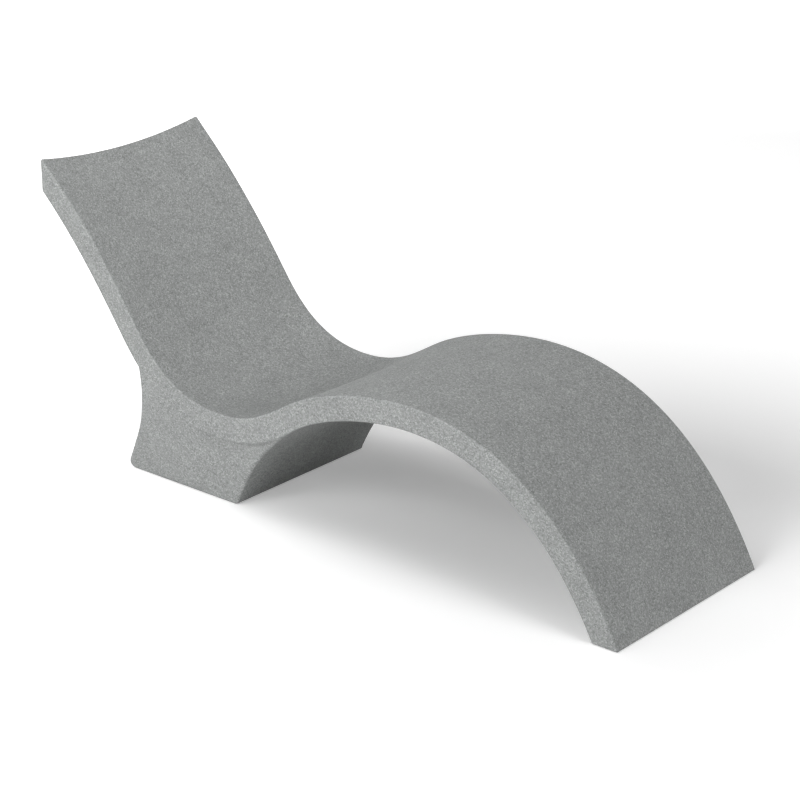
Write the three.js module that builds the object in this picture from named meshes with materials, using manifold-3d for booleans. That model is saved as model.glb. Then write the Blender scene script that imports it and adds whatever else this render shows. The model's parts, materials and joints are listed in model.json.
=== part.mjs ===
// Pool chaise longue: one hollow rotationally moulded shell, flooded with water as ballast
// through two threaded ports, each closed by a screw plug on a flat gasket.
// Millimetres, +Z up. The head is at -X and the foot at +X. The part is alike on both sides of Y = 0.

import * as THREE from "three";
import * as BufferGeometryUtils from "three/addons/utils/BufferGeometryUtils.js";
import Module from "manifold-3d";

// Overall sizes, measured along the upper edge of the side faces

const WIDTH = 583;
const HEAD_HEIGHT = 825;
const SEAT_HEIGHT = 265;
const KNEE_HEIGHT = 447;
const BACK_RUN = 634; // from the plumb head end to the lowest point of the seat
const THIGH_RUN = 618; // from the lowest point of the seat to the crest under the knees
const CALF_RUN = 640; // from the crest to the foot end on the ground
const HEAD_LEAN = 41; // degrees below level, where the upper edge leaves the head end
const BEND_LEAN = 54.4; // degrees below level, at the steepest place of the back
const RISE_LEAN = 27.5; // degrees above level, on the way up to the knees
const FOOT_LEAN = 63.4; // degrees below level, where the upper edge meets the ground

// The ribbon that carries the back, the seat and the legs

const THICKNESS = 66;
const EDGE_RADIUS = 8;
const DISH_DEPTH = 19; // how far the middle of the back and seat sinks below the side edges
const WALL = 6;

// The base block under the seat

const BASE_LENGTH = 408; // on the ground, before its corners are rounded
const BASE_AHEAD = 12; // from the lowest point of the seat forward to the front corner
const BASE_DRAFT = 44; // how far each side draws in by the time it meets the ground
const DRAFT_HEIGHT = 215; // where the sides start to draw in
const REAR_FLARE = 30; // degrees from plumb
const REAR_FLAT_HEIGHT = 110;
const REAR_CORNER_RADIUS = 17;
const WAIST_LEAN = 11; // degrees from plumb, where the rear face runs into the back
const FRONT_LEAN = 32; // degrees from plumb
const FRONT_FLAT_HEIGHT = 96;
const FRONT_CORNER_RADIUS = 12;

// Shape of the curves, as shares of the stretch that each one spans

const BEND_RUN_SHARE = 0.533; // of the back's run
const BEND_DROP_SHARE = 0.705; // of the drop from head to seat
const RISE_RUN_SHARE = 0.425; // of the thigh's run
const RISE_CLIMB_SHARE = 0.545; // of the climb from seat to knee
const HANDLE_SHARES = [[0.45, 0.19], [0.24, 0.5], [0.45, 0.31], [0.29, 0.33], [0.35, 0.43]];
const REAR_JOIN_SHARE = 0.29; // along the curve from the bend to the seat
const WAIST_HANDLE_SHARES = [0.4, 0.42];
const FRONT_HANDLE_SHARES = [0.3, 0.3];
const DISH_END_SHARES = [0.05, 0.75]; // of the thigh's run, where the dish starts and stops fading out
const THREAD_ROOT_SHARE = 0.72; // of the pitch, the ridge's width where it leaves the shank
const THREAD_CREST_SHARE = 0.24; // of the pitch, its width at the top

// Fineness of the facets

const CURVE_STEPS = 12;
const DISH_STEPS = 10;
const EDGE_STEPS = 3;
const CORNER_STEPS = 5;
const ROUND_STEPS = 40;
const THREAD_STEPS = 20; // in one turn, and round the shank and bore that carry the thread

// Clearances

const GAP = 0.3; // between neighbouring pieces
const THREAD_GAP = 0.4;
const OVERRUN = 20; // how far a cut runs past what it cuts
const MERGE_DISTANCE = 0.0001;

// The two ports. The lower one floods and drains the shell, and the upper one lets the air out.

const FILL_PORT = {
  threadRadius: 16.5,
  threadPitch: 4,
  threadDepth: 1.6,
  threadLength: 17,
  insertWall: 4.5,
  flangeWidth: 5,
  flangeThickness: 3,
  barrelReach: 9,
  gasketThickness: 3,
  gasketWidth: 8,
  headThickness: 9,
  headOverhang: 3.5,
  headChamfer: 2,
  headClearance: 3.5,
  headSink: 1.5,
  slotWidth: 3.2,
  slotDepth: 4,
  slotMargin: 6
};

const VENT_PORT = {
  threadRadius: 9.5,
  threadPitch: 3,
  threadDepth: 1.2,
  threadLength: 13,
  insertWall: 3,
  flangeWidth: 3.5,
  flangeThickness: 2,
  barrelReach: 7,
  gasketThickness: 2,
  gasketWidth: 5,
  headThickness: 6,
  headOverhang: 2.5,
  headChamfer: 1.5,
  headClearance: 3,
  headSink: 1,
  slotWidth: 2.4,
  slotDepth: 2.6,
  slotMargin: 4
};

const FILL_PORT_RISE = 62; // height of the lower port's middle on the flat of the rear face
const VENT_PORT_SHARE = 0.32; // along the curve from the head end to the bend

const LENGTH = BACK_RUN + THIGH_RUN + CALF_RUN;
const SEAT_X = BACK_RUN;
const KNEE_X = BACK_RUN + THIGH_RUN;

const wasm = await Module();
wasm.setup();

// Cutting and joining

function solid(geometry) {
  const plain = new THREE.BufferGeometry();
  plain.setAttribute("position", geometry.getAttribute("position"));
  plain.setIndex(geometry.getIndex());
  const merged = BufferGeometryUtils.mergeVertices(plain, MERGE_DISTANCE);
  const corners = merged.getIndex().array;
  const triangles = [];
  for (let i = 0; i < corners.length; i += 3) {
    const [a, b, c] = corners.slice(i, i + 3);
    if (a !== b && b !== c && c !== a) triangles.push(a, b, c);
  }
  return new wasm.Manifold(new wasm.Mesh({
    numProp: 3,
    vertProperties: merged.getAttribute("position").array,
    triVerts: new Uint32Array(triangles)
  }));
}

function surface(body) {
  const { vertProperties, triVerts } = body.getMesh();
  const geometry = new THREE.BufferGeometry();
  geometry.setAttribute("position", new THREE.BufferAttribute(vertProperties, 3));
  geometry.setIndex(new THREE.BufferAttribute(triVerts, 1));
  geometry.computeVertexNormals();
  return geometry;
}

// A closed skin over rings of points, with a fan over each end ring
function loft(rings) {
  const count = rings[0].length;
  const points = rings.flat();
  const index = [];
  for (let ring = 0; ring < rings.length - 1; ring++) {
    for (let k = 0; k < count; k++) {
      const here = ring * count + k;
      const next = ring * count + (k + 1) % count;
      index.push(here, next, here + count, next, next + count, here + count);
    }
  }
  const first = points.length;
  const last = first + 1;
  const start = (rings.length - 1) * count;
  for (let k = 0; k < count; k++) {
    const next = (k + 1) % count;
    index.push(first, next, k);
    index.push(last, start + k, start + next);
  }
  for (const ring of [rings[0], rings[rings.length - 1]]) {
    const middle = new THREE.Vector3();
    for (const point of ring) middle.addScaledVector(point, 1 / count);
    points.push(middle);
  }
  const geometry = new THREE.BufferGeometry().setFromPoints(points);
  geometry.setIndex(index);
  return geometry;
}

// Flat curves in the side view, with x along the part and y up

function heading(degreesAboveLevel) {
  const angle = THREE.MathUtils.degToRad(degreesAboveLevel);
  return new THREE.Vector2(Math.cos(angle), Math.sin(angle));
}

function curveBetween(from, fromHeading, to, toHeading, shares) {
  const span = from.distanceTo(to);
  return new THREE.CubicBezierCurve(
    from,
    from.clone().addScaledVector(fromHeading, span * shares[0]),
    to.clone().addScaledVector(toHeading, -span * shares[1]),
    to
  );
}

// Points of a curve, each moved to the right of its heading by a distance
function offsetPoints(curve, steps, distance) {
  const points = [];
  for (let i = 0; i <= steps; i++) {
    const tangent = curve.getTangent(i / steps);
    const right = new THREE.Vector2(tangent.y, -tangent.x);
    points.push(curve.getPoint(i / steps).addScaledVector(right, distance));
  }
  return points;
}

// The upper edge of the side faces, from the head to the ground
const bendX = BACK_RUN * BEND_RUN_SHARE;
const bendHeight = HEAD_HEIGHT - (HEAD_HEIGHT - SEAT_HEIGHT) * BEND_DROP_SHARE;
const riseX = SEAT_X + THIGH_RUN * RISE_RUN_SHARE;
const riseHeight = SEAT_HEIGHT + (KNEE_HEIGHT - SEAT_HEIGHT) * RISE_CLIMB_SHARE;
const landmarks = [
  [new THREE.Vector2(0, HEAD_HEIGHT), heading(-HEAD_LEAN)],
  [new THREE.Vector2(bendX, bendHeight), heading(-BEND_LEAN)],
  [new THREE.Vector2(SEAT_X, SEAT_HEIGHT), heading(0)],
  [new THREE.Vector2(riseX, riseHeight), heading(RISE_LEAN)],
  [new THREE.Vector2(KNEE_X, KNEE_HEIGHT), heading(0)],
  [new THREE.Vector2(LENGTH, 0), heading(-FOOT_LEAN)]
];
const profile = HANDLE_SHARES.map((shares, i) => curveBetween(...landmarks[i], ...landmarks[i + 1], shares));
const [headCurve, backCurve, seatCurve] = profile;

// Stations along the upper edge, each with its place, its heading and the way into the ribbon
function station(place, tangent) {
  return { place, tangent, inward: new THREE.Vector2(tangent.y, -tangent.x) };
}

const stations = [];
for (const curve of profile) {
  for (let i = 0; i < CURVE_STEPS; i++) {
    stations.push(station(curve.getPoint(i / CURVE_STEPS), curve.getTangent(i / CURVE_STEPS)));
  }
}
const [headPlace, headHeading] = landmarks[0];
const [footPlace, footHeading] = landmarks[landmarks.length - 1];
stations.unshift(station(headPlace.clone().addScaledVector(headHeading, -OVERRUN), headHeading));
stations.push(station(footPlace, footHeading));
stations.push(station(footPlace.clone().addScaledVector(footHeading, OVERRUN), footHeading));

function dishAt(x) {
  const [start, end] = DISH_END_SHARES.map((share) => SEAT_X + THIGH_RUN * share);
  return DISH_DEPTH * (1 - THREE.MathUtils.smoothstep(x, start, end));
}

// Section of the ribbon: across the width, down from the upper edge, and the share of the dish it takes
function ribbonSection(inset, radius) {
  const flat = WIDTH / 2 - inset - radius;
  const high = inset + radius;
  const low = THICKNESS - inset - radius;
  const points = [];
  for (let i = 0; i <= DISH_STEPS; i++) {
    const across = 1 - 2 * i / DISH_STEPS;
    points.push({ across: flat * across, down: inset, sink: 1 - across ** 2 });
  }
  for (const [side, level, start] of [[-1, high, 0], [-1, low, 1], [1, low, 2], [1, high, 3]]) {
    for (let i = 0; i <= EDGE_STEPS; i++) {
      const angle = (start + i / EDGE_STEPS) * Math.PI / 2;
      points.push({
        across: flat * side - radius * Math.sin(angle),
        down: level - radius * Math.cos(angle),
        sink: 0
      });
    }
  }
  return points;
}

function ribbonSolid(inset, radius) {
  const section = ribbonSection(inset, radius);
  return solid(loft(stations.map(({ place, inward }) => {
    const dish = dishAt(place.x);
    return section.map(({ across, down, sink }) => {
      const point = place.clone().addScaledVector(inward, down + sink * dish);
      return new THREE.Vector3(point.x, across, point.y);
    });
  })));
}

// Side view of the base

const rearCorner = new THREE.Vector2(SEAT_X + BASE_AHEAD - BASE_LENGTH, 0);
const frontCorner = new THREE.Vector2(SEAT_X + BASE_AHEAD, 0);
const rearHeading = heading(90 - REAR_FLARE);
const frontHeading = heading(90 - FRONT_LEAN);

function pointUp(corner, direction, height) {
  return corner.clone().addScaledVector(direction, height / direction.y);
}

// The corner that a floor and a wall face make when both are moved inward by the same distance
function cornerInside(corner, direction, inward, inset) {
  return pointUp(corner.clone().addScaledVector(inward, inset), direction, inset - inward.y * inset);
}

const rearFlatTop = pointUp(rearCorner, rearHeading, REAR_FLAT_HEIGHT);
const frontFlatTop = pointUp(frontCorner, frontHeading, FRONT_FLAT_HEIGHT);

function undersideAt(curve, share) {
  const tangent = curve.getTangent(share);
  const right = new THREE.Vector2(tangent.y, -tangent.x);
  return curve.getPoint(share).addScaledVector(right, THICKNESS);
}

const waistCurve = curveBetween(
  rearFlatTop,
  rearHeading,
  undersideAt(backCurve, REAR_JOIN_SHARE),
  heading(90 + WAIST_LEAN),
  WAIST_HANDLE_SHARES
);
const archCurve = curveBetween(
  frontFlatTop,
  frontHeading,
  undersideAt(seatCurve, 1),
  heading(RISE_LEAN),
  FRONT_HANDLE_SHARES
);

// Arc that rounds a corner between two directions that lead away from it
function roundedCorner(corner, fromDirection, toDirection, radius) {
  const half = fromDirection.angleTo(toDirection) / 2;
  const bisector = fromDirection.clone().add(toDirection).normalize();
  const centre = corner.clone().addScaledVector(bisector, radius / Math.sin(half));
  const from = corner.clone().addScaledVector(fromDirection, radius / Math.tan(half)).sub(centre);
  const to = corner.clone().addScaledVector(toDirection, radius / Math.tan(half)).sub(centre);
  const turn = Math.atan2(from.cross(to), from.dot(to));
  const points = [];
  for (let i = 0; i <= CORNER_STEPS; i++) {
    points.push(from.clone().rotateAround(new THREE.Vector2(), turn * i / CORNER_STEPS).add(centre));
  }
  return points;
}

// The middle of the ribbon's thickness over the base, where the block ends inside the ribbon
function ribbonMiddle() {
  const behindSeat = offsetPoints(backCurve, CURVE_STEPS, THICKNESS / 2);
  const aheadOfSeat = offsetPoints(seatCurve, CURVE_STEPS, THICKNESS / 2);
  return [...behindSeat.slice(Math.ceil(CURVE_STEPS * REAR_JOIN_SHARE)), ...aheadOfSeat.slice(1)];
}

function baseOutline(inset) {
  const right = heading(0);
  const left = heading(180);
  const rearInward = new THREE.Vector2(rearHeading.y, -rearHeading.x);
  const frontInward = new THREE.Vector2(-frontHeading.y, frontHeading.x);
  const rearFoot = cornerInside(rearCorner, rearHeading, rearInward, inset);
  const frontFoot = cornerInside(frontCorner, frontHeading, frontInward, inset);
  return [
    ...ribbonMiddle(),
    ...offsetPoints(archCurve, CURVE_STEPS, -inset).reverse(),
    ...roundedCorner(frontFoot, frontHeading, left, FRONT_CORNER_RADIUS),
    ...roundedCorner(rearFoot, right, rearHeading, REAR_CORNER_RADIUS - inset),
    ...offsetPoints(waistCurve, CURVE_STEPS, inset)
  ];
}

function baseSolid(inset) {
  const block = new THREE.ExtrudeGeometry(new THREE.Shape(baseOutline(inset)), {
    depth: 2 * WIDTH,
    bevelEnabled: false
  });
  block.rotateX(Math.PI / 2);
  block.translate(0, WIDTH, 0);
  const top = WIDTH / 2 - inset;
  const slope = BASE_DRAFT / DRAFT_HEIGHT;
  const bottom = top - slope * (DRAFT_HEIGHT + OVERRUN);
  const wedge = new THREE.Shape([
    new THREE.Vector2(-bottom, -OVERRUN),
    new THREE.Vector2(bottom, -OVERRUN),
    new THREE.Vector2(top, DRAFT_HEIGHT),
    new THREE.Vector2(top, HEAD_HEIGHT),
    new THREE.Vector2(-top, HEAD_HEIGHT),
    new THREE.Vector2(-top, DRAFT_HEIGHT)
  ]);
  const sides = new THREE.ExtrudeGeometry(wedge, { depth: LENGTH, bevelEnabled: false });
  sides.applyMatrix4(new THREE.Matrix4().makeBasis(
    new THREE.Vector3(0, 1, 0),
    new THREE.Vector3(0, 0, 1),
    new THREE.Vector3(1, 0, 0)
  ));
  return solid(block).intersect(solid(sides));
}

// Everything that lies above the ground and in front of the plumb head end
function envelope(inset) {
  const box = new THREE.BoxGeometry(LENGTH, 2 * WIDTH, HEAD_HEIGHT + OVERRUN);
  box.translate(LENGTH / 2 + inset, 0, (HEAD_HEIGHT + OVERRUN) / 2 + inset);
  return solid(box);
}

// Ports. Each has its own frame: the outer face of the shell at z = 0 and +Z straight out.

function portPlacement(middle, outward) {
  const out = new THREE.Vector3(outward.x, 0, outward.y);
  const across = new THREE.Vector3(0, 1, 0);
  const placement = new THREE.Matrix4().makeBasis(across, out.clone().cross(across), out);
  return placement.setPosition(middle.x, 0, middle.y);
}

// Levels and radii that the pieces of one port share
function portSizes(port) {
  const barrelRadius = port.threadRadius + THREAD_GAP + port.insertWall;
  const flangeRadius = barrelRadius + port.flangeWidth;
  const shankRadius = port.threadRadius - port.threadDepth;
  const gasketRadius = port.threadRadius + GAP + port.gasketWidth;
  const headRadius = gasketRadius + port.headOverhang;
  const headTop = -port.headSink;
  const headBottom = headTop - port.headThickness;
  const gasketTop = headBottom - GAP;
  const gasketBottom = gasketTop - port.gasketThickness;
  const flangeTop = gasketBottom - GAP;
  const flangeBottom = flangeTop - port.flangeThickness;
  const floor = flangeBottom - GAP;
  const innerFace = floor - WALL;
  return {
    barrelRadius,
    flangeRadius,
    shankRadius,
    gasketRadius,
    headRadius,
    recessRadius: headRadius + port.headClearance,
    headTop,
    headBottom,
    gasketTop,
    gasketBottom,
    flangeTop,
    flangeBottom,
    floor,
    innerFace,
    barrelEnd: innerFace - port.barrelReach
  };
}

// A round bar or hole between two levels
function round(radius, low, high, steps) {
  const cylinder = new THREE.CylinderGeometry(radius, radius, high - low, steps);
  cylinder.rotateX(Math.PI / 2);
  cylinder.translate(0, 0, (low + high) / 2);
  return cylinder;
}

// A turned ring or disc from the corners of its half section, each [radius, level]
function turned(corners) {
  const points = [...corners, corners[0]].map(([radius, level]) => new THREE.Vector2(radius, level));
  const lathe = new THREE.LatheGeometry(points, ROUND_STEPS);
  lathe.rotateX(Math.PI / 2);
  return lathe;
}

// A right-hand thread ridge between two levels. Its corners lie at the same angles as the corners of
// the round bar or hole that carries it, and a clearance fattens it where it cuts a groove.
function threadRidge(port, low, high, clearance) {
  const root = port.threadRadius - port.threadDepth;
  const buried = root - port.threadDepth;
  const crest = port.threadRadius + clearance;
  const rise = port.threadPitch / THREAD_STEPS;
  const rootHalf = port.threadPitch * THREAD_ROOT_SHARE / 2 + clearance;
  const crestHalf = port.threadPitch * THREAD_CREST_SHARE / 2 + clearance;
  const section = [[buried, -rootHalf], [buried, rootHalf], [crest, crestHalf], [crest, -crestHalf]];
  const rings = [];
  for (let step = Math.ceil(low / rise); step <= Math.floor(high / rise); step++) {
    const angle = 2 * Math.PI * step / THREAD_STEPS;
    rings.push(section.map(([radius, level]) => new THREE.Vector3(
      radius * Math.cos(angle),
      radius * Math.sin(angle),
      step * rise + level
    )));
  }
  return loft(rings);
}

function insertSolid(port) {
  const at = portSizes(port);
  const lowFlange = at.innerFace - GAP;
  const spool = solid(turned([
    [0, at.barrelEnd],
    [at.flangeRadius, at.barrelEnd],
    [at.flangeRadius, at.barrelEnd + port.flangeThickness],
    [at.barrelRadius, at.barrelEnd + port.flangeThickness],
    [at.barrelRadius, lowFlange - port.flangeThickness],
    [at.flangeRadius, lowFlange - port.flangeThickness],
    [at.flangeRadius, lowFlange],
    [at.barrelRadius, lowFlange],
    [at.barrelRadius, at.flangeBottom],
    [at.flangeRadius, at.flangeBottom],
    [at.flangeRadius, at.flangeTop],
    [0, at.flangeTop]
  ]));
  const low = at.barrelEnd - port.threadPitch;
  const high = at.flangeTop + port.threadPitch;
  const bore = solid(round(at.shankRadius + THREAD_GAP, low, high, THREAD_STEPS));
  return spool.subtract(bore).subtract(solid(threadRidge(port, low, high, THREAD_GAP)));
}

function gasketSolid(port) {
  const at = portSizes(port);
  const bore = port.threadRadius + GAP;
  return solid(turned([
    [bore, at.gasketBottom],
    [at.gasketRadius, at.gasketBottom],
    [at.gasketRadius, at.gasketTop],
    [bore, at.gasketTop]
  ]));
}

function plugSolid(port) {
  const at = portSizes(port);
  const shankEnd = at.flangeTop - port.threadLength;
  const head = solid(turned([
    [0, at.headBottom],
    [at.headRadius, at.headBottom],
    [at.headRadius, at.headTop - port.headChamfer],
    [at.headRadius - port.headChamfer, at.headTop],
    [0, at.headTop]
  ]));
  const middleOfHead = (at.headBottom + at.headTop) / 2;
  const shank = solid(round(at.shankRadius, shankEnd, middleOfHead, THREAD_STEPS));
  const ridgeHalf = port.threadPitch / 2;
  const ridge = solid(threadRidge(port, shankEnd + ridgeHalf, at.flangeTop - ridgeHalf, 0));
  const slotLength = 2 * (at.headRadius - port.slotMargin);
  const slot = new THREE.BoxGeometry(slotLength, port.slotWidth, 2 * port.slotDepth);
  slot.translate(0, 0, at.headTop);
  return head.add(shank).add(ridge).subtract(solid(slot));
}

// The recess that a port sits in, its hole, and the cup of wall that it needs inside

function portRecess(port, placement) {
  const at = portSizes(port);
  return solid(round(at.recessRadius, at.floor, OVERRUN, ROUND_STEPS).applyMatrix4(placement));
}

function portCup(port, placement) {
  const at = portSizes(port);
  return solid(round(at.recessRadius + WALL, at.innerFace, OVERRUN, ROUND_STEPS).applyMatrix4(placement));
}

function portHole(port, placement) {
  const at = portSizes(port);
  const hole = round(at.barrelRadius + GAP, at.innerFace - WALL, at.floor + WALL, ROUND_STEPS);
  return solid(hole.applyMatrix4(placement));
}

const rearOutward = new THREE.Vector2(-rearHeading.y, rearHeading.x);
const fillPlacement = portPlacement(pointUp(rearCorner, rearHeading, FILL_PORT_RISE), rearOutward);
const ventTangent = headCurve.getTangent(VENT_PORT_SHARE);
const ventOutward = new THREE.Vector2(ventTangent.y, -ventTangent.x);
const ventPlacement = portPlacement(undersideAt(headCurve, VENT_PORT_SHARE), ventOutward);
const ports = [
  { name: "fill", port: FILL_PORT, placement: fillPlacement },
  { name: "vent", port: VENT_PORT, placement: ventPlacement }
];

function shellSolid() {
  let outside = ribbonSolid(0, EDGE_RADIUS).add(baseSolid(0)).intersect(envelope(0));
  let cavity = ribbonSolid(WALL, 0).add(baseSolid(WALL)).intersect(envelope(WALL));
  for (const { port, placement } of ports) {
    outside = outside.subtract(portRecess(port, placement));
    cavity = cavity.subtract(portCup(port, placement));
  }
  let shell = outside.subtract(cavity);
  for (const { port, placement } of ports) shell = shell.subtract(portHole(port, placement));
  return shell;
}

// Materials

const mouldedShell = new THREE.MeshStandardMaterial({ color: 0x8f9190, roughness: 0.75, metalness: 0 });
const castBrass = new THREE.MeshStandardMaterial({ color: 0xb08d4f, roughness: 0.4, metalness: 1 });
const mouldedPlug = new THREE.MeshStandardMaterial({ color: 0x3a3c3d, roughness: 0.55, metalness: 0 });
const rubber = new THREE.MeshStandardMaterial({ color: 0x1b1b1c, roughness: 0.8, metalness: 0 });

// Assembly

function piece(name, geometry, material) {
  const mesh = new THREE.Mesh(geometry, material);
  mesh.name = name;
  return mesh;
}

const chaise = new THREE.Group();
const aboutMiddle = new THREE.Group();
aboutMiddle.position.x = -LENGTH / 2;
aboutMiddle.add(piece("shell", surface(shellSolid()), mouldedShell));
for (const { name, port, placement } of ports) {
  const group = new THREE.Group();
  placement.decompose(group.position, group.quaternion, group.scale);
  group.add(piece(`${name}_port_insert`, surface(insertSolid(port)), castBrass));
  group.add(piece(`${name}_plug_gasket`, surface(gasketSolid(port)), rubber));
  group.add(piece(`${name}_plug`, surface(plugSolid(port)), mouldedPlug));
  aboutMiddle.add(group);
}
chaise.add(aboutMiddle);

export default chaise;
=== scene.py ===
"""Looks and studio of a moulded pool chaise longue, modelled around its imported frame.

The lounger is one rotationally moulded polyethylene shell: a wave-shaped ribbon that carries the
back, the seat and the legs, with a block under the seat. Two ports let the water ballast in and the
air out, and each one has a brass insert, a rubber gasket and a screw plug.
"""

import json
import logging
import math
from dataclasses import dataclass
from enum import Enum

import bmesh
import bpy
from mathutils import Matrix, Vector
from mathutils.kdtree import KDTree


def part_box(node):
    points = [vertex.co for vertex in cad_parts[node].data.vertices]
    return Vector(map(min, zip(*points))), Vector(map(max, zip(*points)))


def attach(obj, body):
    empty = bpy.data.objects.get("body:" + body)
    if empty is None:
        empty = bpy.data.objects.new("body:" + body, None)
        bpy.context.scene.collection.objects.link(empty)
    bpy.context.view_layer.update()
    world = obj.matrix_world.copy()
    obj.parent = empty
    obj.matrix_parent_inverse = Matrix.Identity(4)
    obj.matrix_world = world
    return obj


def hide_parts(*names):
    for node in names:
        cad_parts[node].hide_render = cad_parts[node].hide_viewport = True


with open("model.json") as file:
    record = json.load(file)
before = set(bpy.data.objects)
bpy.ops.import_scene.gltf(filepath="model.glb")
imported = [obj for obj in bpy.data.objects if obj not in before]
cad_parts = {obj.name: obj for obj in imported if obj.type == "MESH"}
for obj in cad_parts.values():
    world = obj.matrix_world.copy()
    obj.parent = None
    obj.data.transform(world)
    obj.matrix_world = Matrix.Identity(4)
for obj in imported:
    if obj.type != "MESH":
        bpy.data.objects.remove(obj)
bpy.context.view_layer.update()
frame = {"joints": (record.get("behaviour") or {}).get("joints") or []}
SHELL_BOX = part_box("shell")

log = logging.getLogger("chaise")

MM = 0.001

# Fewest steps along a curve
LEAST_STEPS = 4
# Distance within which a cut keeps to a vertex, and within which two vertices are one
CUT_REACH = 0.01 * MM
WELD_REACH = 0.001 * MM
# How much large faces lead in the weighted normals, where 50 is neutral and 100 the most
AREA_WEIGHT = 100


class Operation(Enum):
    """What a boolean does with its second solid."""

    JOIN = "UNION"
    CUT = "DIFFERENCE"


class Finish(Enum):
    """Names of the record's material slots, one for each real finish, listed beside the pieces but not
    given to them.
    """

    SHELL = "moulded_shell"
    PLUG = "moulded_plug"
    GASKET = "rubber_gasket"
    BRASS = "brass_insert"


# Curves of the side view


def heading(degrees: float) -> Vector:
    """Unit direction in the side view, at an angle above level.

    Args:
        degrees: Angle above level; 0 points towards the foot.

    Returns:
        The direction, with x along the lounger and y up.
    """
    angle = math.radians(degrees)
    return Vector((math.cos(angle), math.sin(angle)))


def right_of(direction: Vector) -> Vector:
    """Direction a quarter turn to the right, in the side view."""
    return Vector((direction.y, -direction.x))


def smooth(value: float, start: float, end: float) -> float:
    """Eased step that is 0 before start and 1 after end.

    Args:
        value: Where to read the step.
        start: Where it begins to rise.
        end: Where it is complete.

    Returns:
        The height of the step, from 0 to 1.
    """
    share = min(1.0, max(0.0, (value - start) / (end - start)))
    return share * share * (3 - 2 * share)


@dataclass(frozen=True)
class Cubic:
    """Cubic curve in the side view, between two points with a heading at each."""

    start: Vector
    start_handle: Vector
    end_handle: Vector
    end: Vector

    @classmethod
    def between(cls, start: Vector, start_heading: Vector, end: Vector, end_heading: Vector,
                shares: tuple[float, float]) -> "Cubic":
        """Curve whose handles are shares of the distance between its ends.

        Args:
            start: First point.
            start_heading: Direction in which the curve leaves it.
            end: Last point.
            end_heading: Direction in which the curve arrives.
            shares: Length of the two handles, as shares of the span.

        Returns:
            The curve.
        """
        span = (end - start).length
        start_handle = start + start_heading * span * shares[0]
        end_handle = end - end_heading * span * shares[1]
        return cls(start, start_handle, end_handle, end)

    def point(self, share: float) -> Vector:
        """Point at a share of the curve's own run, from 0 to 1."""
        rest = 1 - share
        return (self.start * rest**3 + self.start_handle * (3 * rest**2 * share)
                + self.end_handle * (3 * rest * share**2) + self.end * share**3)

    def heading(self, share: float) -> Vector:
        """Unit direction of travel on the curve.

        Args:
            share: Place on the curve, as a share of its own run from 0 to 1.

        Returns:
            The direction there.
        """
        rest = 1 - share
        slope = ((self.start_handle - self.start) * rest**2
                 + (self.end_handle - self.start_handle) * (2 * rest * share)
                 + (self.end - self.end_handle) * share**2)
        return slope.normalized()

    def beside(self, share: float, distance: float) -> Vector:
        """Point at a distance to the right of the curve."""
        return self.point(share) + right_of(self.heading(share)) * distance

    def steps(self, pitch: float) -> int:
        """Number of steps of about one pitch that the curve takes."""
        return max(LEAST_STEPS, round((self.end - self.start).length / pitch))


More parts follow.
